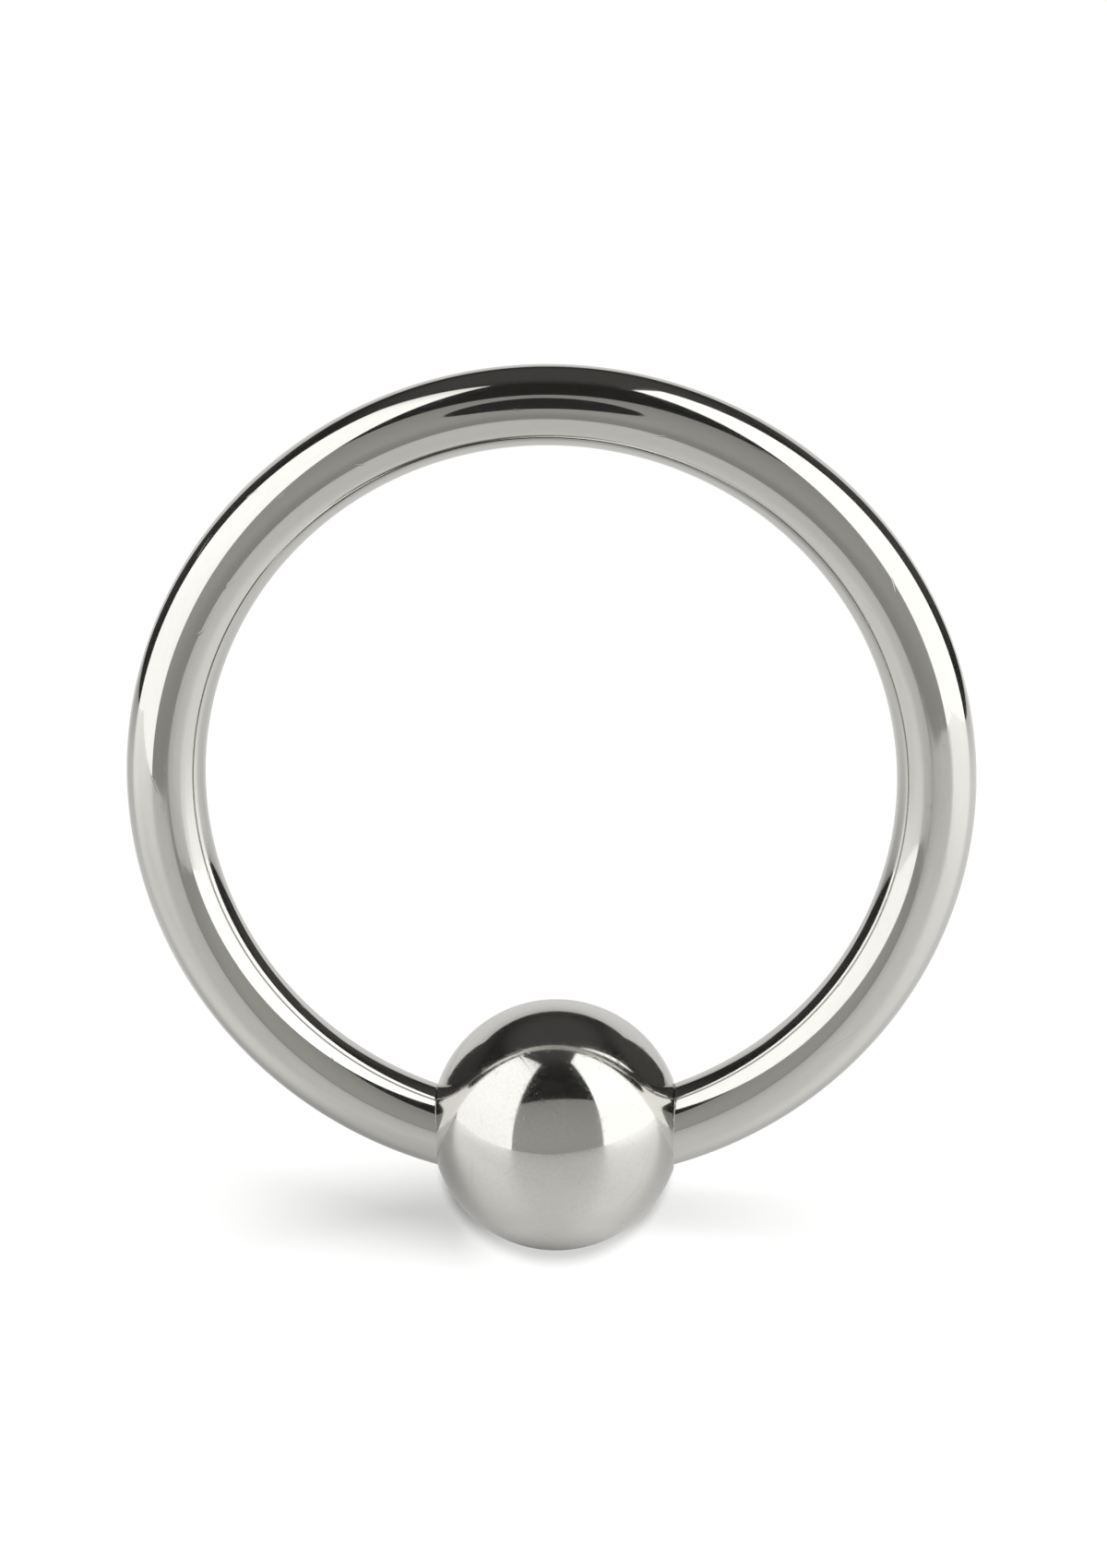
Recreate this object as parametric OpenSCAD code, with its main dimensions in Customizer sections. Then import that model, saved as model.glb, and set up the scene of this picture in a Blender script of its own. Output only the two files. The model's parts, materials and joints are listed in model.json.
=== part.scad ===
// Captive bead ring: an open ring of round wire whose two ends seat in dimples on opposite
// sides of a loose ball. It lies on its side, on the ball and on the wire across from the ball.
// The ball is towards -Y, +Z is up and the surface that it lies on is z = 0.

/* [Wire ring] */
// Thickness of the wire
wire_d = 1.6; // [1.2:0.1:2.0]
// Clear opening inside the ring
ring_inner_d = 14; // [12:0.5:19]
// Width of the bevel round the wire's cut ends
end_bevel = 0.05; // [0.03:0.01:0.08]

/* [Captive bead] */
// Diameter of the ball
bead_d = 5.2; // [5.0:0.1:6.0]
// Included angle of the cone that the drill's point leaves in a dimple
drill_point_angle = 118; // [90:1:140]
// Width of the broken edge round a dimple's mouth
mouth_break = 0.02; // [0.01:0.005:0.03]

/* [Fit] */
// Gap round the wire in a dimple's mouth, where the slanting wire fills it most
seat_gap = 0.055; // [0.04:0.005:0.08]
// How far the wire's ends reach past the dimples' mouths
end_entry = 0.14; // [0.10:0.01:0.16]
// How far short of the wire's end the dimple's straight wall stops
wall_stop = 0.02; // [0.01:0.005:0.03]

/* [Hidden] */
$fn = 96;
wire_r = wire_d / 2;
bead_r = bead_d / 2;

// Radius of the circle that the middle of the wire follows
ring_r = (ring_inner_d + wire_d) / 2;

// A straight cut through the slanting wire is a little taller than the wire is thick
entry_slant = asin(sqrt(bead_r * bead_r - wire_r * wire_r) / ring_r);
dimple_r = wire_r / cos(entry_slant) + seat_gap;
dimple_wall = end_entry - wall_stop;
drill_point_depth = dimple_r / tan(drill_point_angle / 2);

// The dimples' mouths lie on the ball where a circle of the dimple's radius cuts it
mouth_x = sqrt(bead_r * bead_r - dimple_r * dimple_r);
end_x = mouth_x - end_entry;

// How far from the ring's middle the wire enters the mouths, which the ball's middle is level
// with, and how far from it the wire ends
bead_reach = sqrt(ring_r * ring_r - mouth_x * mouth_x);
end_reach = sqrt(ring_r * ring_r - end_x * end_x);

// Cutters run past what they cut by this much
spare = 1;
cutter_r = ring_r - end_reach + wire_r + spare;

// Lying on its side, the ring leans until the ball and the wire across from it both touch down
lean = asin((bead_r - wire_r) / (ring_r + bead_reach));
ring_z = wire_r + ring_r * sin(lean);
back_y = ring_r * cos(lean) + wire_r;
front_y = bead_reach * cos(lean) + bead_r;
ring_y = (front_y - back_y) / 2;

// Takes a shape from the ring's own plane, with its middle at the origin, to where it lies
module lying() {
    translate([0, ring_y, ring_z]) rotate([-lean, 0, 0]) children();
}

// Turns a shape drawn about the Z axis to lie along X, this far from the ring's middle
module across_at(reach) {
    translate([0, -reach, 0]) rotate([0, 90, 0]) children();
}

// The gap between the wire's ends: flat across each end, then a 45 degree bevel
module end_gap() {
    face_r = wire_r - end_bevel;
    flare = cutter_r - face_r;
    rotate_extrude()
        polygon([
            [0, -end_x],
            [face_r, -end_x],
            [cutter_r, -end_x - flare],
            [cutter_r, end_x + flare],
            [face_r, end_x],
            [0, end_x],
        ]);
}

// One drilled dimple, opening towards +Z: the drill's point, the wall and the broken edge
module dimple() {
    wall_start = mouth_x - dimple_wall;
    break_start = mouth_x - mouth_break;
    rotate_extrude()
        polygon([
            [0, wall_start - drill_point_depth],
            [dimple_r, wall_start],
            [dimple_r, break_start],
            [dimple_r + mouth_break + spare, mouth_x + spare],
            [0, mouth_x + spare],
        ]);
}

// Open ring of round wire
module wire_ring() {
    color("silver")
        lying()
            difference() {
                rotate_extrude() translate([ring_r, 0]) circle(r = wire_r);
                across_at(end_reach) end_gap();
            }
}

// Loose ball held between the wire's ends
module captive_bead() {
    color("gainsboro")
        lying()
            across_at(bead_reach)
                difference() {
                    sphere(r = bead_r);
                    dimple();
                    mirror([0, 0, 1]) dimple();
                }
}

wire_ring();
captive_bead();
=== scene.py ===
# %% [markdown]
# A captive bead ring in polished steel
#
# The real thing is two pieces of surgical steel: a ring of round wire that is open at one point, and a
# loose ball that the wire's springy ends hold by a dimple on each side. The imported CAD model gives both
# solids at their real size. This lesson gives them the skin, the finish, the studio and the light of a
# product photograph.
#
# Polished steel has almost no colour of its own. Nearly all that one sees on it is the room, bent round its
# curves. So most of this lesson is about two things: meshes that are smooth enough to be mirrors, and a
# studio worth reflecting.

import json
import math

import bmesh
import bpy
from mathutils import Matrix, Vector


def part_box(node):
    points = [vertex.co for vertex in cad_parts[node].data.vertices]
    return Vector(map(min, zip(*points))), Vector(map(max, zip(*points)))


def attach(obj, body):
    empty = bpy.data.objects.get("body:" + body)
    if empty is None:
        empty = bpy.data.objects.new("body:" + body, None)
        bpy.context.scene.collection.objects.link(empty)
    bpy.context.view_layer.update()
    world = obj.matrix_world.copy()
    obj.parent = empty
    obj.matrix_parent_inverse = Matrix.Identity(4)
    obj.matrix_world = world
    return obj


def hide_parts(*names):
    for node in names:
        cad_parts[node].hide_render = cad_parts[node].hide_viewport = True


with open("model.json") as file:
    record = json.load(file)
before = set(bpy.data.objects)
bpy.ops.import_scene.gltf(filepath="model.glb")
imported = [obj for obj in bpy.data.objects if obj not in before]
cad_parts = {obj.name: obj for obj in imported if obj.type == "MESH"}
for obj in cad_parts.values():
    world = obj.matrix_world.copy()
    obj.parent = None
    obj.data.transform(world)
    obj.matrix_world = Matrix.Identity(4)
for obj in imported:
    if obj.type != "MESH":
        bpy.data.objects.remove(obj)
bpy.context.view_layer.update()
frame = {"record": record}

# %% [markdown]
# Sizes
#
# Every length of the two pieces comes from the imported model, or from the few small fits that the model was
# drawn with. They could be typed in again, but lengths that are read from the model can't drift away from
# it. The wire's thickness stands in the record's mount, the ring's radius in the box round the wire, and
# the ball's radius in the box round the ball.

# %% Wire, ring and ball in metres
MM = 0.001

mounts = {mount["name"]: mount for mount in frame["record"]["mounts"]}
wire_r = mounts["piercing_wire"]["dims"]["r_mm"] * MM
wire_low, wire_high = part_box("wire_ring")
ball_low, ball_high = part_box("captive_bead")
ring_r = (wire_high.x - wire_low.x) / 2 - wire_r
ball_r = (ball_high.z - ball_low.z) / 2
ball_centre = (ball_low + ball_high) / 2
widths = {"wire": 2 * wire_r, "ring": 2 * ring_r, "ball": 2 * ball_r}
print("across in mm:", {name: round(width / MM, 3) for name, width in widths.items()})

# %% [markdown]
# How the ball is held
#
# The ball is drilled on both sides, and the wire's ends reach a little way into the dimples. On the real
# ring they press on the ball. Here a thin even gap is left all round, so that the ball can turn freely when
# the model moves. Where the wire stops follows from circles that cross, so it is worked out, not typed in.

# %% The fit between the wire's ends and the ball
SEAT_GAP = 0.055 * MM
END_ENTRY = 0.14 * MM
WALL_STOP = 0.02 * MM

entry_slant = math.asin(math.sqrt(ball_r**2 - wire_r**2) / ring_r)
dimple_r = wire_r / math.cos(entry_slant) + SEAT_GAP
mouth_x = math.sqrt(ball_r**2 - dimple_r**2)
end_x = mouth_x - END_ENTRY
end_reach = math.sqrt(ring_r**2 - end_x**2)
ball_reach = math.sqrt(ring_r**2 - mouth_x**2)
print("the wire's ends stand", round(2 * end_x / MM, 3), "mm apart")

# %% [markdown]
# Lying on its side
#
# By itself the ring lies tipped, because it rests on the ball at one side and on its own wire at the other.
# The same little triangle that tips the CAD model gives the lean here. The two pieces, the camera and the
# studio's cards could each be tipped by themselves. They are all placed in the ring's own axes instead, and
# carried over by this one matrix.

# %% The ring's own axes
lean = math.asin((ball_r - wire_r) / (ring_r + ball_reach))
ring_y = ball_centre.y + ball_reach * math.cos(lean)
ring_z = wire_r + ring_r * math.sin(lean)
lying = Matrix.Translation((0, ring_y, ring_z)) @ Matrix.Rotation(-lean, 4, "X")
ball_place = lying @ Matrix.Translation((0, -ball_reach, 0))
print("lean in degrees", round(math.degrees(lean), 3))
print("ball out of place by", (ball_place.translation - ball_centre).length)

# %% [markdown]
# The camera
#
# The photographer looked into the ring's opening from in front and a little above, with a long lens. Here
# the ring lies on its side, so the same view comes from overhead. The camera could be moved about by eye.
# It is placed in the ring's own axes instead and turned by three small angles, so that each number changes
# one thing in the picture, and then it is carried over with the ring's lean.

# %% Camera
PHOTO_HEIGHT = 1700
FOCAL_PIXELS = 4478
SENSOR = 36
TILT = math.radians(17.05)
TURN = math.radians(-2.45)
ROLL = math.radians(1.01)
AIM = Vector((-0.0086, 0.0015, -10.72))
CLIP_NEAR = ring_r / 4
CLIP_FAR = 400 * ring_r


def photo_camera():
    """The camera that sees the ring as the photograph does."""
    turned = Matrix.Rotation(ROLL, 4, "Z") @ Matrix.Rotation(TILT, 4, "X") @ Matrix.Rotation(TURN, 4, "Y")
    seen = Matrix.Translation(AIM * ring_r) @ turned
    data = bpy.data.cameras.new("photo_camera")
    data.sensor_width = SENSOR
    data.lens = SENSOR * FOCAL_PIXELS / PHOTO_HEIGHT
    data.clip_start = CLIP_NEAR
    data.clip_end = CLIP_FAR
    camera = bpy.data.objects.new("photo_camera", data)
    camera.matrix_world = lying @ seen.inverted()
    bpy.context.collection.objects.link(camera)
    return camera


bpy.context.scene.camera = photo_camera()
print("camera at", [round(v / MM, 2) for v in bpy.context.scene.camera.matrix_world.translation], "mm")

# %% [markdown]
# Meshes for mirrors
#
# The CAD solids are exact, but they arrive cut into triangles, and a mirror shows each triangle's edge as a
# kink in the reflections. Both pieces are therefore drawn again here, at exactly the same sizes, as dense
# and even sleeves of four-sided faces. One helper serves both: it takes closed loops of points and joins
# each to the next.

# %% A sleeve of faces through loops of points
def sleeve(mesh, loops):
    """Joins closed loops of points, all with the same number, by rows of four-sided faces."""
    rows = [[mesh.verts.new(point) for point in loop] for loop in loops]
    for lower, upper in zip(rows, rows[1:]):
        for side in range(len(lower)):
            after = (side + 1) % len(lower)
            mesh.faces.new((lower[side], lower[after], upper[after], upper[side]))
    return rows


print("helper ready:", sleeve.__name__)

# %% From a mesh to a finished piece
SHARP_EDGE = math.radians(20)


def finished_piece(mesh, name, body, node):
    """Turns a bmesh into a smooth shaded piece that stands for a CAD node and rides on its body."""
    bmesh.ops.recalc_face_normals(mesh, faces=mesh.faces)
    for face in mesh.faces:
        face.smooth = True
    for edge in mesh.edges:
        edge.smooth = edge.calc_face_angle(0) < SHARP_EDGE
    data = bpy.data.meshes.new(name)
    mesh.to_mesh(data)
    mesh.free()
    piece = bpy.data.objects.new(name, data)
    bpy.context.collection.objects.link(piece)
    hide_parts(node)
    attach(piece, body)
    print(name, "has", len(data.polygons), "faces")
    return piece


print("edges sharper than", round(math.degrees(SHARP_EDGE)), "degrees stay sharp")

# %% [markdown]
# The wire
#
# A maker winds round wire on a rod and saws the coil open, then files the two ends flat and breaks their
# edges. A curve with a round profile could give the ring, but not those small bevels. So the skin is drawn
# line by line: each line along the wire is an arc round the ring, and it stops where it meets the bevel at
# the end. That place has no neat formula, so it is found by halving a range of angles until it fits.

# %% Where each line of the wire's skin ends
END_BEVEL = 0.05 * MM
HALVINGS = 40
flat_r = wire_r - END_BEVEL


def wire_point(along, around):
    """A point on the wire's skin, by its angles round the ring from the ball and round the wire."""
    reach = ring_r + wire_r * math.cos(around)
    return Vector((reach * math.sin(along), -reach * math.cos(along), wire_r * math.sin(around)))


def from_end_axis(point):
    """How far a point lies from the line through the middle of both flat ends."""
    return math.hypot(point.y + end_reach, point.z)


def cut_angle(around):
    """The angle round the ring at which one line of the wire's skin meets the bevel of its end."""
    low, high = 0, math.pi / 2
    for _ in range(HALVINGS):
        middle = (low + high) / 2
        point = wire_point(middle, around)
        if point.x < end_x + from_end_axis(point) - flat_r:
            low = middle
        else:
            high = middle
    return high


def flat_end_point(point, side):
    """The corner of the flat end that lies straight inside a point of the bevel's outer edge."""
    share = flat_r / from_end_axis(point)
    return Vector((side * end_x, -end_reach + share * (point.y + end_reach), share * point.z))


print("outermost line is cut", round(math.degrees(cut_angle(0)), 2), "degrees from the ball's middle")

# %% [markdown]
# The straightened wire
#
# Wire is drawn before it is wound, so its fine marks run along it. A pattern laid straight through space
# would cut across the bend. The mesh therefore remembers, for each point, where it would lie if the wire
# were straight, and the steel's pattern reads that later.

# %% The wire's skin
WIRE_LINES = 96
WIRE_ROWS = 480


def wire_loops(turns):
    """The loops of points round the wire, from one flat end to the other."""
    cuts = [cut_angle(turn) for turn in turns]
    loops = []
    for row in range(WIRE_ROWS + 1):
        share = row / WIRE_ROWS
        spans = [cut + share * (2 * math.pi - 2 * cut) for cut in cuts]
        loops.append([wire_point(span, turn) for span, turn in zip(spans, turns)])
    loops.insert(0, [flat_end_point(point, 1) for point in loops[0]])
    loops.append([flat_end_point(point, -1) for point in loops[-1]])
    return loops


def polished_wire():
    """The open ring of round wire with its two bevelled ends."""
    turns = [2 * math.pi * line / WIRE_LINES for line in range(WIRE_LINES)]
    loops = wire_loops(turns)
    mesh = bmesh.new()
    rows = sleeve(mesh, [[lying @ point for point in loop] for loop in loops])
    mesh.faces.new(rows[0])
    mesh.faces.new(rows[-1])
    piece = finished_piece(mesh, "polished_wire", "ring", "wire_ring")
    straight = piece.data.attributes.new("straight_wire", "FLOAT_VECTOR", "POINT")
    for row in range(len(loops)):
        length = 2 * math.pi * ring_r * row / WIRE_ROWS
        for line, turn in enumerate(turns):
            place = (length, wire_r * math.cos(turn), wire_r * math.sin(turn))
            straight.data[row * WIRE_LINES + line].vector = place
    return piece


wire = polished_wire()

# %% [markdown]
# The ball
#
# The ball is turned and tumbled, then drilled from both sides to seat the wire. A ready-made sphere with
# two holes cut out would have thin slivers of faces round them, and those show in a mirror. But everything
# on the ball is round about the line through its dimples. So half of its section is drawn as a list of
# points and carried round that line. The dimples lie at the poles, which leaves no pinched faces where the
# ball is seen.

# %% Half of the ball's section
BALL_ROWS = 150
MOUTH_BREAK = 0.02 * MM
DRILL_POINT_ANGLE = math.radians(118)
DRILL_TIP = 0.02


def ball_section():
    """Points from drill point to drill point, as places along the dimples' line and radii."""
    floor_x = mouth_x - (END_ENTRY - WALL_STOP)
    tip_x = floor_x - dimple_r / math.tan(DRILL_POINT_ANGLE / 2)
    slope = dimple_r / mouth_x
    rim_r = dimple_r + MOUTH_BREAK / (1 + slope)
    rim_angle = math.asin(rim_r / ball_r)
    dimple = [(tip_x, DRILL_TIP * dimple_r), (floor_x, dimple_r), (mouth_x - MOUTH_BREAK, dimple_r)]
    dome = []
    for row in range(BALL_ROWS + 1):
        angle = rim_angle + (math.pi - 2 * rim_angle) * row / BALL_ROWS
        dome.append((ball_r * math.cos(angle), ball_r * math.sin(angle)))
    return dimple + dome + [(-x, radius) for x, radius in reversed(dimple)]


print("the ball's section has", len(ball_section()), "points")

# %% The ball's skin
BALL_LINES = 256


def polished_ball():
    """The loose ball with a dimple on each side."""
    turns = [2 * math.pi * line / BALL_LINES for line in range(BALL_LINES)]
    loops = []
    for x, radius in ball_section():
        loop = [Vector((x, radius * math.sin(turn), radius * math.cos(turn))) for turn in turns]
        loops.append([ball_place @ point for point in loop])
    mesh = bmesh.new()
    rows = sleeve(mesh, loops)
    mesh.faces.new(rows[0])
    mesh.faces.new(rows[-1])
    return finished_piece(mesh, "polished_ball", "bead", "captive_bead")


ball = polished_ball()

# %% [markdown]
# Node trees, built by hand
#
# Blender keeps a material as a tree of nodes. Trees can be put together with the mouse, but code can be
# read and changed in one place, so every tree in this lesson is made by the few helpers below. One places a
# node on a grid, so that the tree can still be read in the shader editor, and another gives a socket either
# a plain value or a link. The rest wrap the small sums that come up again and again.

# %% Placing and feeding nodes
COLUMN_WIDTH = 220
ROW_HEIGHT = 180


def put(tree, kind, column, row, **settings):
    """A new node on a grid of columns and rows."""
    node = tree.nodes.new(kind)
    node.location = (COLUMN_WIDTH * column, -ROW_HEIGHT * row)
    for name, value in settings.items():
        setattr(node, name, value)
    return node


def feed(tree, socket, value):
    """Gives a socket a plain value, or links another node's output to it."""
    if isinstance(value, bpy.types.NodeSocket):
        tree.links.new(value, socket)
    else:
        socket.default_value = value


print("nodes stand", COLUMN_WIDTH, "by", ROW_HEIGHT, "units apart")

# %% Small sums with nodes
def maths(tree, operation, column, row, *values):
    """A Math node with its values or links, as its output."""
    node = put(tree, "ShaderNodeMath", column, row, operation=operation)
    for socket, value in zip(node.inputs, values):
        feed(tree, socket, value)
    return node.outputs["Value"]


def vector_maths(tree, operation, column, row, *values):
    """A Vector Math node with its values or links, as the node itself."""
    node = put(tree, "ShaderNodeVectorMath", column, row, operation=operation)
    for socket, value in zip(node.inputs, values):
        feed(tree, socket, value)
    return node


def ease(tree, column, row, value, start, stop, low=0.0, high=1.0):
    """A soft step: low before start, high after stop, and an S curve between them."""
    node = put(tree, "ShaderNodeMapRange", column, row, interpolation_type="SMOOTHSTEP")
    settings = {"Value": value, "From Min": start, "From Max": stop, "To Min": low, "To Max": high}
    for name, setting in settings.items():
        feed(tree, node.inputs[name], setting)
    return node.outputs["Result"]


print("helpers ready:", maths.__name__, vector_maths.__name__, ease.__name__)

# %% [markdown]
# Groups of nodes
#
# Both steels have the same kinds of marks at different sizes. The nodes could be copied for each, but a
# group with named inputs is built once, and anyone who opens it can tune it. The groups in this lesson give
# only masks and values, and the shader itself stays in the material.

# %% Making and using groups
FLOAT = "NodeSocketFloat"
VECTOR = "NodeSocketVector"
COLOUR = "NodeSocketColor"


def new_group(name, inputs, outputs):
    """An empty shader node group with named inputs, each with a typical value, and named outputs."""
    tree = bpy.data.node_groups.new(name, "ShaderNodeTree")
    for label, kind, value in inputs:
        socket = tree.interface.new_socket(name=label, in_out="INPUT", socket_type=kind)
        socket.default_value = value
    for label, kind in outputs:
        tree.interface.new_socket(name=label, in_out="OUTPUT", socket_type=kind)
    return tree, tree.nodes.new("NodeGroupInput"), tree.nodes.new("NodeGroupOutput")


def use_group(tree, group, column, row, **values):
    """A node that holds a group, with its inputs given by name."""
    node = put(tree, "ShaderNodeGroup", column, row, node_tree=group)
    for name, value in values.items():
        feed(tree, node.inputs[name], value)
    return node


print("helpers ready:", new_group.__name__, use_group.__name__)

# %% [markdown]
# Hairline scratches
#
# Handling leaves short and very thin scratches that run every way. They could be painted on a picture, but
# a picture blurs from close by, so they are worked out in the shader. Cells of a Voronoi texture scatter
# them. Each cell gets its own random plane through its middle, and where that plane cuts the skin lies one
# scratch, which fades out before it reaches the next cell. A second random number decides how deep it is,
# or whether it is there at all.

# %% The group for hairline scratches
FADE_START = 0.25
FADE_STOP = 0.55


def hairline_group():
    """Short thin lines in random directions, as a mask from none to full depth."""
    inputs = [
        ("Skin", VECTOR, (0, 0, 0)),
        ("Cell", FLOAT, 0.6 * MM),
        ("Width", FLOAT, 0.01 * MM),
        ("Share", FLOAT, 0.5),
    ]
    tree, given, result = new_group("Hairline scratches", inputs, [("Mask", FLOAT)])
    finer = maths(tree, "DIVIDE", 1, 1, 1.0, given.outputs["Cell"])
    place = vector_maths(tree, "SCALE", 2, 0, given.outputs["Skin"])
    feed(tree, place.inputs["Scale"], finer)
    cells = put(tree, "ShaderNodeTexVoronoi", 3, 0)
    cells.inputs["Scale"].default_value = 1
    feed(tree, cells.inputs["Vector"], place.outputs["Vector"])
    middle = cells.outputs["Position"]
    off_middle = vector_maths(tree, "SUBTRACT", 4, 0, place.outputs["Vector"], middle).outputs["Vector"]
    spread = vector_maths(tree, "SUBTRACT", 4, 1, cells.outputs["Color"], (0.5, 0.5, 0.5)).outputs["Vector"]
    random_way = vector_maths(tree, "NORMALIZE", 5, 1, spread).outputs["Vector"]
    off_plane = vector_maths(tree, "DOT_PRODUCT", 6, 0, off_middle, random_way).outputs["Value"]
    off_line = maths(tree, "ABSOLUTE", 7, 0, off_plane)
    width = maths(tree, "MULTIPLY", 7, 2, given.outputs["Width"], finer)
    line = ease(tree, 8, 0, off_line, 0.0, width, 1.0, 0.0)
    fade = ease(tree, 8, 1, cells.outputs["Distance"], FADE_START, FADE_STOP, 1.0, 0.0)
    chance = put(tree, "ShaderNodeTexWhiteNoise", 5, 3)
    feed(tree, chance.inputs["Vector"], middle)
    absent = maths(tree, "SUBTRACT", 7, 3, 1.0, given.outputs["Share"])
    strength = ease(tree, 8, 3, chance.outputs["Value"], absent, 1.0)
    mask = maths(tree, "MULTIPLY", 9, 0, maths(tree, "MULTIPLY", 9, 1, line, fade), strength)
    feed(tree, result.inputs["Mask"], mask)
    return tree


hairlines = hairline_group()
print("hairline scratches have", len(hairlines.nodes), "nodes")

# %% [markdown]
# Tumbling pits
#
# Small parts are polished by tumbling them with steel media, and the knocks leave a few shallow round
# dents. They could be pressed into the mesh, but a mirror needs no more than their slope, which a bump can
# give. These are Voronoi cells again. The distance from a cell's middle gives a round mask, and only some
# cells get a dent.

# %% The group for tumbling pits
def pit_group():
    """Small round dents at random places, as a mask from none to full depth."""
    inputs = [
        ("Skin", VECTOR, (0, 0, 0)),
        ("Cell", FLOAT, 0.3 * MM),
        ("Radius", FLOAT, 0.02 * MM),
        ("Share", FLOAT, 0.3),
    ]
    tree, given, result = new_group("Tumbling pits", inputs, [("Mask", FLOAT)])
    finer = maths(tree, "DIVIDE", 1, 1, 1.0, given.outputs["Cell"])
    place = vector_maths(tree, "SCALE", 2, 0, given.outputs["Skin"])
    feed(tree, place.inputs["Scale"], finer)
    cells = put(tree, "ShaderNodeTexVoronoi", 3, 0)
    cells.inputs["Scale"].default_value = 1
    feed(tree, cells.inputs["Vector"], place.outputs["Vector"])
    radius = maths(tree, "MULTIPLY", 4, 1, given.outputs["Radius"], finer)
    dent = ease(tree, 5, 0, cells.outputs["Distance"], 0.0, radius, 1.0, 0.0)
    chance = put(tree, "ShaderNodeTexWhiteNoise", 4, 2)
    feed(tree, chance.inputs["Vector"], cells.outputs["Position"])
    absent = maths(tree, "SUBTRACT", 5, 2, 1.0, given.outputs["Share"])
    strength = ease(tree, 6, 2, chance.outputs["Value"], absent, 1.0)
    feed(tree, result.inputs["Mask"], maths(tree, "MULTIPLY", 7, 0, dent, strength))
    return tree


pits = pit_group()
print("tumbling pits have", len(pits.nodes), "nodes")

# %% [markdown]
# Haze and ripple
#
# No polish is perfect. Broad soft patches are a little duller where the wheel or the media reached less, a
# fine mottle lies over everything, and the surface keeps a ripple of a fraction of a micron that makes the
# edges of reflections slightly ragged. Three noises, from patches to grain, give all of it.

# %% The group for haze and ripple
NOISE_DETAIL = 3


def haze_group():
    """Broad patches, fine mottle and ripple, each about nought to one with its middle near a half."""
    inputs = [
        ("Skin", VECTOR, (0, 0, 0)),
        ("Patch", FLOAT, 1.5 * MM),
        ("Grain", FLOAT, 0.1 * MM),
        ("Wave", FLOAT, 0.4 * MM),
    ]
    outputs = [("Patches", FLOAT), ("Mottle", FLOAT), ("Ripple", FLOAT)]
    tree, given, result = new_group("Polish haze", inputs, outputs)
    for row, (size, output) in enumerate((("Patch", "Patches"), ("Grain", "Mottle"), ("Wave", "Ripple"))):
        noise = put(tree, "ShaderNodeTexNoise", 2, row)
        noise.inputs["Detail"].default_value = NOISE_DETAIL
        feed(tree, noise.inputs["Vector"], given.outputs["Skin"])
        feed(tree, noise.inputs["Scale"], maths(tree, "DIVIDE", 1, row, 1.0, given.outputs[size]))
        feed(tree, result.inputs[output], noise.outputs[0])
    return tree


haze = haze_group()
print("polish haze has", len(haze.nodes), "nodes")

# %% [markdown]
# Worn polish
#
# Both pieces are the same surgical steel, and on both the marks change three things together: they make the
# steel a little rougher, a little duller, and they tip its surface, which is what the eye notices most in a
# mirror. One plain colour and one roughness would look like plastic chrome. So each of the three gets a
# group of its own, and each steel brings its own values.
#
# Scratches too fine to draw one by one throw a faint wide glow round every bright reflection, while the
# reflection itself stays sharp. One roughness can't do both. So the first group also gives a veil: how
# strong a second, rougher reflection lies over the sharp one.

# %% The group for roughness and veil
PATCH_SPAN = (0.35, 0.65)
SPECK_SPAN = (0.5, 0.75)
VEIL_SPAN = (0.4, 0.62)


def worn_finish_group():
    """Roughness that rises in dull patches, some grains and scratches, and a veil over some grains."""
    inputs = [
        ("Patches", FLOAT, 0.5),
        ("Mottle", FLOAT, 0.5),
        ("Lines", FLOAT, 0.0),
        ("Clean", FLOAT, 0.05),
        ("Dull", FLOAT, 0.08),
        ("Specks", FLOAT, 0.05),
        ("Thin", FLOAT, 0.2),
        ("Thick", FLOAT, 1.0),
    ]
    tree, given, result = new_group("Worn finish", inputs, [("Roughness", FLOAT), ("Veil", FLOAT)])
    marks = given.outputs
    rough = ease(tree, 1, 0, marks["Patches"], *PATCH_SPAN, marks["Clean"], marks["Dull"])
    speckled = ease(tree, 1, 1, marks["Mottle"], *SPECK_SPAN, 0.0, marks["Specks"])
    rough = maths(tree, "ADD", 2, 0, rough, speckled)
    rough = maths(tree, "MULTIPLY_ADD", 3, 0, marks["Lines"], marks["Specks"], rough)
    veil = ease(tree, 1, 2, marks["Mottle"], *VEIL_SPAN, marks["Thin"], marks["Thick"])
    feed(tree, result.inputs["Roughness"], rough)
    feed(tree, result.inputs["Veil"], veil)
    return tree


worn_finish = worn_finish_group()
print("the worn finish has", len(worn_finish.nodes), "nodes")

# %% The group for colour
GRAIN_SPAN = (0.38, 0.66)
PATCH_TONE = 0.2
MARK_TONE = 0.8
LINE_SHARE = 0.5


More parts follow.
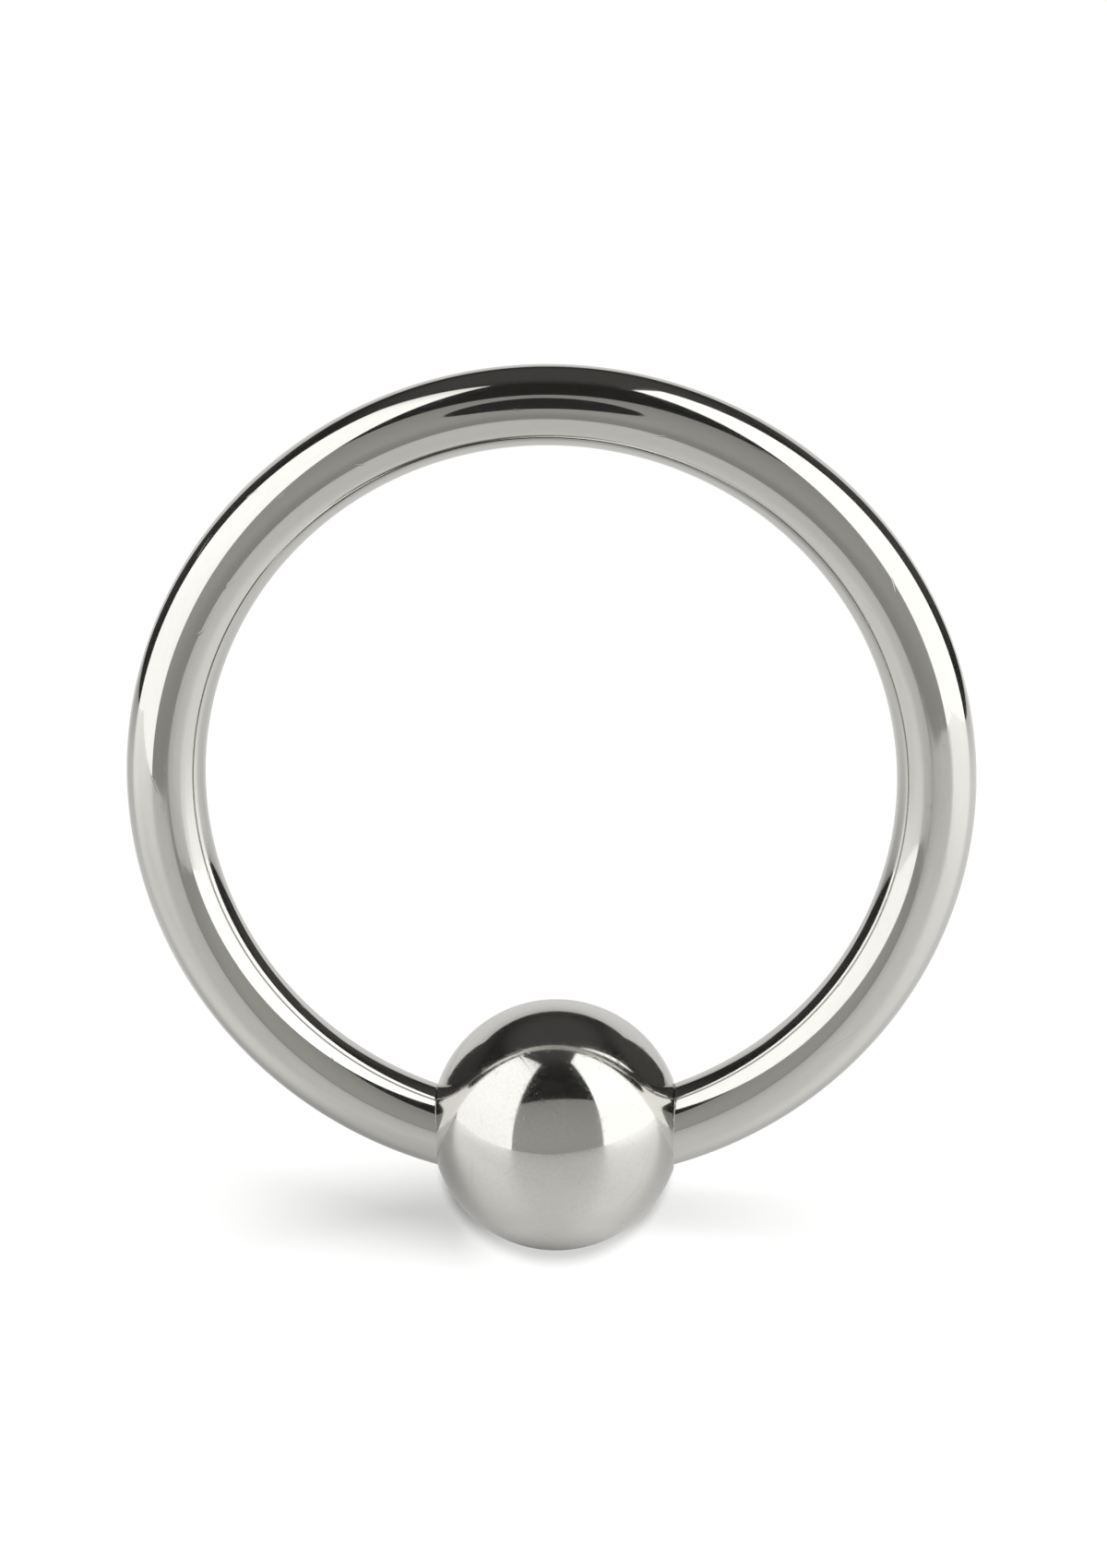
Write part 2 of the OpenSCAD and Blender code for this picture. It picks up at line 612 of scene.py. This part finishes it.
def worn_colour_group():
    """The clean steel's colour, mixed towards the worn one by patches, grain, scratches and pits."""
    inputs = [
        ("Patches", FLOAT, 0.5),
        ("Mottle", FLOAT, 0.5),
        ("Lines", FLOAT, 0.0),
        ("Holes", FLOAT, 0.0),
        ("Grain", FLOAT, 0.3),
        ("Clean", COLOUR, (0.7, 0.69, 0.66, 1)),
        ("Worn", COLOUR, (0.5, 0.49, 0.48, 1)),
    ]
    tree, given, result = new_group("Worn colour", inputs, [("Colour", COLOUR)])
    marks = given.outputs
    deepest = maths(tree, "MULTIPLY", 1, 2, marks["Lines"], LINE_SHARE)
    deepest = maths(tree, "MAXIMUM", 2, 2, marks["Holes"], deepest)
    cloudy = ease(tree, 1, 0, marks["Patches"], *PATCH_SPAN, 0.0, PATCH_TONE)
    grainy = ease(tree, 1, 1, marks["Mottle"], *GRAIN_SPAN, 0.0, marks["Grain"])
    dull = maths(tree, "ADD", 2, 0, cloudy, grainy)
    dull = maths(tree, "MULTIPLY_ADD", 3, 0, deepest, MARK_TONE, dull)
    colour = put(tree, "ShaderNodeMix", 4, 0, data_type="RGBA")
    feed(tree, colour.inputs["Factor"], dull)
    feed(tree, colour.inputs["A"], marks["Clean"])
    feed(tree, colour.inputs["B"], marks["Worn"])
    feed(tree, result.inputs["Colour"], colour.outputs["Result"])
    return tree


worn_colour = worn_colour_group()
print("the worn colour has", len(worn_colour.nodes), "nodes")

# %% The group for relief
def worn_relief_group():
    """The skin's height in metres: a ripple, with scratches and pits added at their own heights."""
    inputs = [
        ("Ripple", FLOAT, 0.5),
        ("Lines", FLOAT, 0.0),
        ("Holes", FLOAT, 0.0),
        ("Wave", FLOAT, 0.0),
        ("Scratch", FLOAT, 0.0),
        ("Pit", FLOAT, 0.0),
    ]
    tree, given, result = new_group("Worn relief", inputs, [("Height", FLOAT)])
    marks = given.outputs
    height = maths(tree, "MULTIPLY", 1, 0, marks["Ripple"], marks["Wave"])
    height = maths(tree, "MULTIPLY_ADD", 2, 0, marks["Lines"], marks["Scratch"], height)
    height = maths(tree, "MULTIPLY_ADD", 3, 0, marks["Holes"], marks["Pit"], height)
    feed(tree, result.inputs["Height"], height)
    return tree


worn_relief = worn_relief_group()
print("the worn relief has", len(worn_relief.nodes), "nodes")

# %% [markdown]
# Polished steel
#
# The colour of clean steel is a warm light grey. One function makes the whole material, since only the
# sizes and strengths differ between the two pieces. The marks come first, then the three groups of wear,
# and they feed the one metallic shader. Its coat is used for the veil.

# %% All the marks on a skin
def skin_marks(tree, skin, haze_sizes, hairs, dents):
    """The haze, the scratches and the pits of one skin, each as outputs from nought to one."""
    patch, grain, wave = haze_sizes
    clouds = use_group(tree, haze, 1, 0, Skin=skin, Patch=patch, Grain=grain, Wave=wave).outputs
    lines = 0.0
    for layer, (cell, width, share) in enumerate(hairs):
        finer = use_group(tree, hairlines, 1, 2 + layer, Skin=skin, Cell=cell, Width=width, Share=share)
        lines = maths(tree, "MAXIMUM", 2, 2 + layer, lines, finer.outputs["Mask"])
    cell, radius, share = dents
    holes = use_group(tree, pits, 1, 5, Skin=skin, Cell=cell, Radius=radius, Share=share).outputs["Mask"]
    return clouds, lines, holes


print("marks come from", hairlines.name, pits.name, "and", haze.name)

# %% A function for polished steel
VEIL_ROUGHNESS = 0.2
VEIL_IOR = 1.9


def polished_steel(
    name, skin_of, clean_steel, worn_steel, roughness, specks, veil, grain_tone,
    haze_sizes, hairs, dents, ripple, hair_depth, dent_depth,
):
    """A metallic material with haze, ripple, scratches and pits at their real sizes."""
    material = bpy.data.materials.new(name)
    material.use_nodes = True
    tree = material.node_tree
    clouds, lines, holes = skin_marks(tree, skin_of(tree), haze_sizes, hairs, dents)
    marks = {"Patches": clouds["Patches"], "Mottle": clouds["Mottle"], "Lines": lines}
    clean, dull = roughness
    thin, thick = veil
    finish = use_group(
        tree, worn_finish, 3, 0, **marks, Clean=clean, Dull=dull, Specks=specks, Thin=thin, Thick=thick
    )
    colour = use_group(
        tree, worn_colour, 3, 2, **marks, Holes=holes, Grain=grain_tone,
        Clean=(*clean_steel, 1), Worn=(*worn_steel, 1),
    )
    relief = use_group(
        tree, worn_relief, 3, 4, Ripple=clouds["Ripple"], Lines=lines, Holes=holes,
        Wave=ripple, Scratch=-hair_depth, Pit=-dent_depth,
    )
    bump = put(tree, "ShaderNodeBump", 4, 4)
    bump.inputs["Distance"].default_value = 1
    feed(tree, bump.inputs["Height"], relief.outputs["Height"])
    shader = tree.nodes["Principled BSDF"].inputs
    shader["Metallic"].default_value = 1
    shader["Coat Roughness"].default_value = VEIL_ROUGHNESS
    shader["Coat IOR"].default_value = VEIL_IOR
    feed(tree, shader["Base Color"], colour.outputs["Colour"])
    feed(tree, shader["Roughness"], finish.outputs["Roughness"])
    feed(tree, shader["Coat Weight"], finish.outputs["Veil"])
    feed(tree, shader["Normal"], bump.outputs["Normal"])
    print(name, "has", len(tree.nodes), "nodes")
    return material


print("the veil's roughness is", VEIL_ROUGHNESS)

# %% [markdown]
# The wire's finish
#
# Wire is drawn through a die before it is wound, so its marks run along it. The skin of the wire is
# measured as if the ring were straightened out again, and squeezed along its length, which pulls the haze
# and the scratches into long faint lines. The polish over them is clean and bright.

# %% The wire's steel
MICRON = 0.001 * MM
DRAWN_OUT = 0.2
WORN_STEEL = (0.54, 0.532, 0.51)


def straightened_wire(tree):
    """The place on the wire's skin as if it were straight, squeezed along its length."""
    stored = put(tree, "ShaderNodeAttribute", -1, 0, attribute_name="straight_wire")
    squeezed = vector_maths(tree, "MULTIPLY", 0, 0, stored.outputs["Vector"], (DRAWN_OUT, 1, 1))
    return squeezed.outputs["Vector"]


wire.data.materials.append(polished_steel(
    "wire_steel",
    straightened_wire,
    clean_steel=(0.68, 0.673, 0.648),
    worn_steel=WORN_STEEL,
    roughness=(0.04, 0.06),
    specks=0.04,
    veil=(0.2, 0.6),
    grain_tone=0.2,
    haze_sizes=(1.2 * MM, 0.07 * MM, 0.3 * MM),
    hairs=((0.5 * MM, 0.012 * MM, 0.3), (0.23 * MM, 0.008 * MM, 0.2)),
    dents=(0.35 * MM, 0.025 * MM, 0.25),
    ripple=0.15 * MICRON,
    hair_depth=0.8 * MICRON,
    dent_depth=1 * MICRON,
))

# %% [markdown]
# The ball's finish
#
# The ball is tumbled and then handled each time it is put in, so it carries more haze than the wire, with
# short scratches every way and a scatter of tiny pits. Its pattern is tied to the ball's own coordinates,
# so it turns when the ball turns.

# %% The ball's steel
def ball_skin(tree):
    """The place on the ball's skin, which turns with the ball."""
    return put(tree, "ShaderNodeTexCoord", 0, 0).outputs["Object"]


ball.data.materials.append(polished_steel(
    "ball_steel",
    ball_skin,
    clean_steel=(0.69, 0.683, 0.657),
    worn_steel=WORN_STEEL,
    roughness=(0.055, 0.085),
    specks=0.07,
    veil=(0.15, 1),
    grain_tone=0.4,
    haze_sizes=(1.2 * MM, 0.07 * MM, 0.2 * MM),
    hairs=((0.9 * MM, 0.03 * MM, 0.45), (0.45 * MM, 0.022 * MM, 0.4), (0.18 * MM, 0.012 * MM, 0.3)),
    dents=(0.2 * MM, 0.02 * MM, 0.12),
    ripple=0.35 * MICRON,
    hair_depth=0.7 * MICRON,
    dent_depth=0.6 * MICRON,
))

# %% [markdown]
# A studio for mirrors
#
# What polished steel shows is the photographer's studio. A picture of a real studio could be wrapped round
# the scene, but cards can be moved one by one until each patch of light sits where the photograph has it.
# So the studio is a set of glowing cards in the ring's own axes: x to the right in the picture, y up in it,
# and z towards the camera. Every card is seen by reflections only. The floor and the camera never see it,
# so it can be as near and as bright as the mirror needs.

# %% Cards of the set
def reflected_only(thing):
    """Hides a thing of the set from everything but mirror reflections."""
    thing.visible_camera = False
    thing.visible_diffuse = False
    thing.visible_transmission = False
    thing.visible_volume_scatter = False
    thing.visible_shadow = False


def card(name, place, corners, material):
    """A flat card of the set with its corners in millimetres, placed in the ring's axes."""
    mesh = bpy.data.meshes.new(name)
    mesh.from_pydata([(across * MM, up * MM, 0) for across, up in corners], [], [range(len(corners))])
    mesh.materials.append(material)
    thing = bpy.data.objects.new(name, mesh)
    thing.matrix_world = lying @ place
    bpy.context.collection.objects.link(thing)
    reflected_only(thing)
    print(name, "stands at", [round(v / MM) for v in thing.matrix_world.translation], "mm")


def standing(facing, tilt, distance):
    """The place of a card at an angle round the ring from the camera, tilted back, in degrees and mm."""
    turned = Matrix.Rotation(math.radians(facing), 4, "Y") @ Matrix.Rotation(math.radians(-tilt), 4, "X")
    return turned @ Matrix.Translation((0, 0, distance * MM))


print("cards are placed round", [round(v / MM, 2) for v in lying.translation], "mm")

# %% Glowing materials for the cards
def glow(name, colour, radiance, foot_loss=(0, 0, 1), head_loss=(0, 0, 1)):
    """A coloured light that can lose some radiance between two heights in mm, at its foot and its head."""
    material = bpy.data.materials.new(name)
    material.use_nodes = True
    material.cycles.emission_sampling = "NONE"
    tree = material.node_tree
    tree.nodes.clear()
    split = put(tree, "ShaderNodeSeparateXYZ", 1, 0)
    feed(tree, split.inputs["Vector"], put(tree, "ShaderNodeTexCoord", 0, 0).outputs["Object"])
    height = split.outputs["Y"]
    loss, start, stop = foot_loss
    foot = ease(tree, 2, 0, height, start * MM, stop * MM, loss, 0)
    loss, start, stop = head_loss
    head = ease(tree, 2, 1, height, start * MM, stop * MM, 0, loss)
    strength = maths(tree, "SUBTRACT", 4, 0, maths(tree, "SUBTRACT", 3, 0, radiance, foot), head)
    lit = put(tree, "ShaderNodeEmission", 5, 0)
    lit.inputs["Color"].default_value = (*colour, 1)
    feed(tree, lit.inputs["Strength"], strength)
    shown = put(tree, "ShaderNodeOutputMaterial", 6, 0)
    feed(tree, shown.inputs["Surface"], lit.outputs["Emission"])
    print(name, "glows at", radiance)
    return material


print("helper ready:", glow.__name__)

# %% [markdown]
# Softboxes, panel and backdrop
#
# Two tall softboxes give the white patches left and right on the ball and the long highlights on the wire.
# Between them, behind the camera, a grey panel shows as the grey square. The backdrop stands far behind the
# ring and gives the pale rim at the top of the ball. A small round black flag in front of the ring is the
# dark patch on the ring's top. A real softbox is a little dimmer at its foot, and so are these.

# %% The two softboxes
left_light = glow(
    "left_light",
    colour=(1, 1, 0.98),
    radiance=1.48,
    foot_loss=(0.1, -14, 83),
    head_loss=(0.4, 207, 418),
)
left_corners = [(-137, -30), (46, -60), (30, 462), (-153, 322)]
card("left_softbox", standing(facing=-56.5, tilt=0, distance=131), left_corners, left_light)

right_light = glow("right_light", colour=(1, 0.998, 0.975), radiance=1.62, foot_loss=(0.05, -12, 46))
right_corners = [(-43, -57), (113, -57), (66, 189), (-7.5, 164)]
card("right_softbox", standing(facing=64, tilt=17.8, distance=109.5), right_corners, right_light)

# %% The grey panel and the backdrop
panel_grey = glow(
    "panel_grey",
    colour=(1, 0.985, 0.94),
    radiance=0.4,
    foot_loss=(0.09, -40, 0),
    head_loss=(0.1, 0, 134),
)
panel_corners = [(-120, -100), (120, -100), (120, 116), (-120, 92)]
card("grey_panel", standing(facing=0, tilt=0, distance=115), panel_corners, panel_grey)

backdrop_white = glow("backdrop_white", colour=(1, 0.99, 0.97), radiance=0.745, head_loss=(0.12, 100, 200))
backdrop_corners = [(-228, -60), (296, -60), (296, 213), (-228, 181)]
card("backdrop", standing(facing=180, tilt=0, distance=339), backdrop_corners, backdrop_white)

# %% The black flag
FLAG_SIDES = 48
FLAG_ACROSS = -0.5
FLAG_UP = 11.9
FLAG_RADIUS = 3.9
DARK = (1, 0.97, 0.93)

flag_black = glow("flag_black", colour=DARK, radiance=0.03)
flag_rim = []
for side in range(FLAG_SIDES):
    turn = 2 * math.pi * side / FLAG_SIDES
    flag_rim.append((FLAG_ACROSS + FLAG_RADIUS * math.cos(turn), FLAG_UP + FLAG_RADIUS * math.sin(turn)))
card("black_flag", standing(facing=0, tilt=0, distance=13.5), flag_rim, flag_black)

# %% [markdown]
# The table
#
# The ball seems to stand on a satin white table, which fills the lower half of its reflection. A real
# surface under the lamps would change with every lamp, so this one is made like the other cards and glows
# by itself. It has to do two things. It glows with scattered light, which is darker in the ball's soft
# shadows and brighter towards the sides, above all the right one. And it mirrors the softboxes faintly
# where it is seen at a low angle. A Fresnel node shares the light out between the two.

# %% A group for soft shadows on the table
def soft_shadow_group():
    """How much light is left inside an oval shadow that is darkest in its middle."""
    inputs = [
        ("Place", VECTOR, (0, 0, 0)),
        ("Middle", VECTOR, (0, 0, 0)),
        ("Reach", VECTOR, (1, 1, 1)),
        ("Depth", FLOAT, 0.5),
    ]
    tree, given, result = new_group("Soft shadow", inputs, [("Light left", FLOAT)])
    away = vector_maths(tree, "SUBTRACT", 1, 0, given.outputs["Place"], given.outputs["Middle"])
    share = vector_maths(tree, "DIVIDE", 2, 0, away.outputs["Vector"], given.outputs["Reach"])
    length = vector_maths(tree, "LENGTH", 3, 0, share.outputs["Vector"])
    dark = ease(tree, 4, 0, length.outputs["Value"], 0.0, 1.0, given.outputs["Depth"], 0.0)
    feed(tree, result.inputs["Light left"], maths(tree, "SUBTRACT", 5, 0, 1.0, dark))
    return tree


soft_shadow = soft_shadow_group()
print("a soft shadow has", len(soft_shadow.nodes), "nodes")

# %% The table's even light
TABLE_LEVEL = 0.8
RIGHT_GAIN = 0.3
RIGHT_SPAN = (9 * MM, 37 * MM)
SLANT = 0.8
SLANT_SPAN = (0.0, 4 * MM)
LEFT_GAIN = 0.08
LEFT_SPAN = (-50 * MM, -34 * MM)
FRONT_LOSS = 0.07
FRONT_SPAN = (-7 * MM, -2.5 * MM)
FRONT_END = (1 * MM, 8 * MM)


def even_light(tree, across, away):
    """The table's light before any shadow: brighter at the sides, and a little darker before the ball."""
    slanted = maths(tree, "MULTIPLY_ADD", 1, 2, across, SLANT, away)
    right = ease(tree, 2, 0, across, *RIGHT_SPAN, 0.0, RIGHT_GAIN)
    right = maths(tree, "MULTIPLY", 3, 0, right, ease(tree, 2, 1, slanted, *SLANT_SPAN))
    left = ease(tree, 2, 3, across, *LEFT_SPAN, LEFT_GAIN, 0.0)
    before = ease(tree, 2, 4, away, *FRONT_SPAN, FRONT_LOSS, 0.0)
    before = maths(tree, "MULTIPLY", 3, 4, before, ease(tree, 2, 5, across, *FRONT_END, 1.0, 0.0))
    level = maths(tree, "ADD", 5, 0, maths(tree, "ADD", 5, 1, right, left), TABLE_LEVEL)
    return maths(tree, "SUBTRACT", 6, 0, level, before)


print("the table glows at", TABLE_LEVEL)

# %% The table's shadows
# Each shade has its middle and its reach, across and away from the ball's foot in mm, and its depth.
TABLE_SHADES = {
    "beside the ball": ((-4.4, -0.6), (7.3, 4.7), 0.28),
    "wide lobe": ((-4, 2.6), (19, 5.2), 0.4),
    "under the ball": ((-0.15, 0), (2, 2.3), 0.85),
    "left side": ((-22, -4), (20, 14), 0.14),
    "front edge": ((5, -33), (20, 9), 0.1),
}


def shaded_light(tree, place, level):
    """The even light with each of the oval shades taken out of it."""
    for row, (middle, reach, depth) in enumerate(TABLE_SHADES.values()):
        shade = use_group(tree, soft_shadow, 4, 7 + row, Place=place, Depth=depth)
        shade.inputs["Middle"].default_value = (middle[0] * MM, middle[1] * MM, 0)
        shade.inputs["Reach"].default_value = (reach[0] * MM, reach[1] * MM, 1)
        level = maths(tree, "MULTIPLY", 7 + row, 0, level, shade.outputs["Light left"])
    return level


print("shades on the table:", ", ".join(TABLE_SHADES))

# %% The table's material
TABLE_WHITE = (1, 0.995, 0.975)
TABLE_ROUGHNESS = 0.38
TABLE_IOR = 2.2


def satin_table():
    """White satin that glows by its place and mirrors softly at low angles."""
    material = bpy.data.materials.new("satin_table")
    material.use_nodes = True
    material.cycles.emission_sampling = "NONE"
    tree = material.node_tree
    tree.nodes.clear()
    place = put(tree, "ShaderNodeTexCoord", 0, 0).outputs["Object"]
    split = put(tree, "ShaderNodeSeparateXYZ", 1, 0)
    feed(tree, split.inputs["Vector"], place)
    level = shaded_light(tree, place, even_light(tree, split.outputs["X"], split.outputs["Y"]))
    scattered = put(tree, "ShaderNodeEmission", 13, 0)
    scattered.inputs["Color"].default_value = (*TABLE_WHITE, 1)
    feed(tree, scattered.inputs["Strength"], level)
    mirrored = put(tree, "ShaderNodeBsdfGlossy", 13, 1)
    mirrored.inputs["Color"].default_value = (1, 1, 1, 1)
    mirrored.inputs["Roughness"].default_value = TABLE_ROUGHNESS
    share = put(tree, "ShaderNodeFresnel", 13, 2)
    share.inputs["IOR"].default_value = TABLE_IOR
    both = put(tree, "ShaderNodeMixShader", 14, 0)
    feed(tree, both.inputs["Fac"], share.outputs["Fac"])
    feed(tree, both.inputs[1], scattered.outputs["Emission"])
    feed(tree, both.inputs[2], mirrored.outputs["BSDF"])
    shown = put(tree, "ShaderNodeOutputMaterial", 15, 0)
    feed(tree, shown.inputs["Surface"], both.outputs["Shader"])
    print("the satin table has", len(tree.nodes), "nodes")
    return material


table_satin = satin_table()

# %% [markdown]
# The table's outline
#
# Low on the ring the table's reflection stops at its front edge, and the grey panel's begins. A table has a
# straight edge, but no straight line fits both sides of the ring in the photograph. So the edge is made of
# several straight pieces that bend a little at their joints.

# %% The table in its place
table_y = -ball_reach - ball_r
table_place = Matrix.Translation((0, table_y, 0)) @ Matrix.Rotation(-math.pi / 2, 4, "X")
front_left = [(-140, -22), (-31, -31.3), (-20, -33), (-6, -33.3), (0, -32.4)]
front_right = [(4, -35.8), (30, -46), (125, -52)]
back = [(110, 0), (80, 45), (60, 300), (-140, 300)]
card("table", table_place, front_left + front_right + back, table_satin)

# %% [markdown]
# The room
#
# The world is everything beyond the set. One even grey could stand for it, but the steel needs a dark room
# and the floor needs light. So reflections see a dark room, a little lighter high up and at both sides
# behind the ring. The floor gets a weak even light from all round, which softens every shadow, and the
# camera sees plain white.

# %% How light the room is in reflections
ROOM_LEVEL = 0.024
# Each glow has its facing and its tilt in degrees, the cosines of its rim and of its core, and its gain.
ROOM_GLOWS = {
    "high behind": (180, 69, 0.76, 0.96, 0.045),
    "behind right": (135, 20, 0.9, 0.98, 0.04),
    "behind left": (-130, 17, 0.92, 0.99, 0.02),
}


def room_level(tree, direction):
    """The dark room's light in a direction, with each of its glows added."""
    level = ROOM_LEVEL
    for row, (facing, tilt, rim, core, gain) in enumerate(ROOM_GLOWS.values()):
        centre = (lying @ standing(facing, tilt, 0)).to_3x3() @ Vector((0, 0, 1))
        near = vector_maths(tree, "DOT_PRODUCT", 1, row, direction, centre).outputs["Value"]
        level = maths(tree, "ADD", 3, row, level, ease(tree, 2, row, near, rim, core, 0.0, gain))
    return level


print("the room is lighter in these places:", ", ".join(ROOM_GLOWS))

# %% The world
DOME = 0.25
WHITE = (1, 1, 1)


def background(tree, column, row, colour, strength):
    """A plain background light of one colour."""
    light = put(tree, "ShaderNodeBackground", column, row)
    light.inputs["Color"].default_value = (*colour, 1)
    feed(tree, light.inputs["Strength"], strength)
    return light.outputs["Background"]


def studio_world():
    """A dark room for mirrors, a weak dome of light for the floor and plain white for the camera."""
    world = bpy.data.worlds.new("studio")
    bpy.context.scene.world = world
    world.use_nodes = True
    tree = world.node_tree
    tree.nodes.clear()
    direction = put(tree, "ShaderNodeTexCoord", 0, 0).outputs["Generated"]
    dark = background(tree, 4, 0, DARK, room_level(tree, direction))
    dome = background(tree, 3, 1, WHITE, DOME)
    plain = background(tree, 3, 2, WHITE, 1.0)
    path = put(tree, "ShaderNodeLightPath", 3, 3)
    mirrors = put(tree, "ShaderNodeMixShader", 5, 0)
    feed(tree, mirrors.inputs["Fac"], path.outputs["Is Glossy Ray"])
    feed(tree, mirrors.inputs[1], dome)
    feed(tree, mirrors.inputs[2], dark)
    seen = put(tree, "ShaderNodeMixShader", 6, 0)
    feed(tree, seen.inputs["Fac"], path.outputs["Is Camera Ray"])
    feed(tree, seen.inputs[1], mirrors.outputs["Shader"])
    feed(tree, seen.inputs[2], plain)
    shown = put(tree, "ShaderNodeOutputWorld", 7, 0)
    feed(tree, shown.inputs["Surface"], seen.outputs["Shader"])


studio_world()
print("dome of light:", DOME)

# %% [markdown]
# The floor
#
# Without a floor the ring would float in white. It rests on a plain matt one that is lit until it just
# turns pure white, so that only real shadows show. Mirrors never see it, because the table stands in for it
# there.

# %% A pale floor
FLOOR_WHITE = (0.82, 0.82, 0.815)
FLOOR_HALF = 1.0


def pale_floor():
    """A wide white matt floor that mirrors never see."""
    corners = [(x * FLOOR_HALF, y * FLOOR_HALF, 0) for x, y in ((-1, -1), (1, -1), (1, 1), (-1, 1))]
    mesh = bpy.data.meshes.new("floor")
    mesh.from_pydata(corners, [], [range(len(corners))])
    floor = bpy.data.objects.new("floor", mesh)
    bpy.context.collection.objects.link(floor)
    material = bpy.data.materials.new("floor_white")
    material.use_nodes = True
    shader = material.node_tree.nodes["Principled BSDF"]
    shader.inputs["Base Color"].default_value = (*FLOOR_WHITE, 1)
    shader.inputs["Roughness"].default_value = 1
    shader.inputs["Specular IOR Level"].default_value = 0
    mesh.materials.append(material)
    floor.visible_glossy = False


pale_floor()
print("the floor is", 2 * FLOOR_HALF, "m wide")

# %% [markdown]
# Lamps and shadows
#
# The photograph shows a dark crescent below the ball and two flat soft lobes beside it, but no shadow of
# the thin wire. There the ring seems to stand on its ball, and here it lies on its side, so its shadows
# fall on another plane and one plain lamp can't throw them. Two lamps share the work. One shines from high
# on the side away from the ball, is blocked by the ball alone and gives the crescent. The other is broad
# and straight above, and is blocked only by two small tapered flags that hang in the air on both sides of
# the ball. They give the lobes, as a photographer shapes light with black cards.

# %% A lamp with its own blockers
def sun(name, azimuth, elevation, strength, width, blockers):
    """A distant lamp: azimuth in degrees from the side away from the ball, elevation above the floor."""
    data = bpy.data.lights.new(name, "SUN")
    data.energy = strength
    data.angle = math.radians(width)
    lamp = bpy.data.objects.new(name, data)
    across, up = math.radians(azimuth), math.radians(elevation)
    source = Vector((math.sin(across) * math.cos(up), math.cos(across) * math.cos(up), math.sin(up)))
    lamp.rotation_mode = "QUATERNION"
    lamp.rotation_quaternion = source.to_track_quat("Z", "Y")
    lamp.visible_glossy = False
    lamp.light_linking.blocker_collection = blockers
    bpy.context.collection.objects.link(lamp)


print("helper ready:", sun.__name__)

# %% The flags
def shadow_flag(name, corners):
    """A black card that only blocks a lamp, with corners in mm from the place where the ball rests."""
    mesh = bpy.data.meshes.new(name)
    mesh.from_pydata([(x * MM, y * MM, z * MM) for x, y, z in corners], [], [range(len(corners))])
    mesh.materials.append(flag_black)
    flag = bpy.data.objects.new(name, mesh)
    flag.location = (ball_centre.x, ball_centre.y, 0)
    bpy.context.collection.objects.link(flag)
    reflected_only(flag)
    flag.visible_glossy = False
    flag.visible_shadow = True
    return flag


left_flag_corners = [(-1.8, -4.6, 6.2), (-1.8, -2.6, 6.2), (-7.7, -3.45, 10.7)]
right_flag_corners = [(1.2, -3.09, 6.1), (1.2, -3.71, 6.1), (5.9, -3.8, 6.1)]
flags_only = bpy.data.collections.new("flags_only")
flags_only.objects.link(shadow_flag("flag_left", left_flag_corners))
flags_only.objects.link(shadow_flag("flag_right", right_flag_corners))

# %% The two lamps
ball_only = bpy.data.collections.new("ball_only")
ball_only.objects.link(ball)
sun("overhead", azimuth=4.5, elevation=56.5, strength=1.82, width=4.2, blockers=ball_only)
sun("shaped", azimuth=0, elevation=90, strength=1.63, width=12, blockers=flags_only)

# %% [markdown]
# Plain tones and the end
#
# The picture is shown with plain tones, so that a white card reads as white. A filmic curve is kinder to
# very bright lights, but it would turn the white floor grey.

# %% Plain tones
scene = bpy.context.scene
scene.view_settings.view_transform = "Standard"
scene.view_settings.look = "None"
print("tones:", scene.view_settings.view_transform)
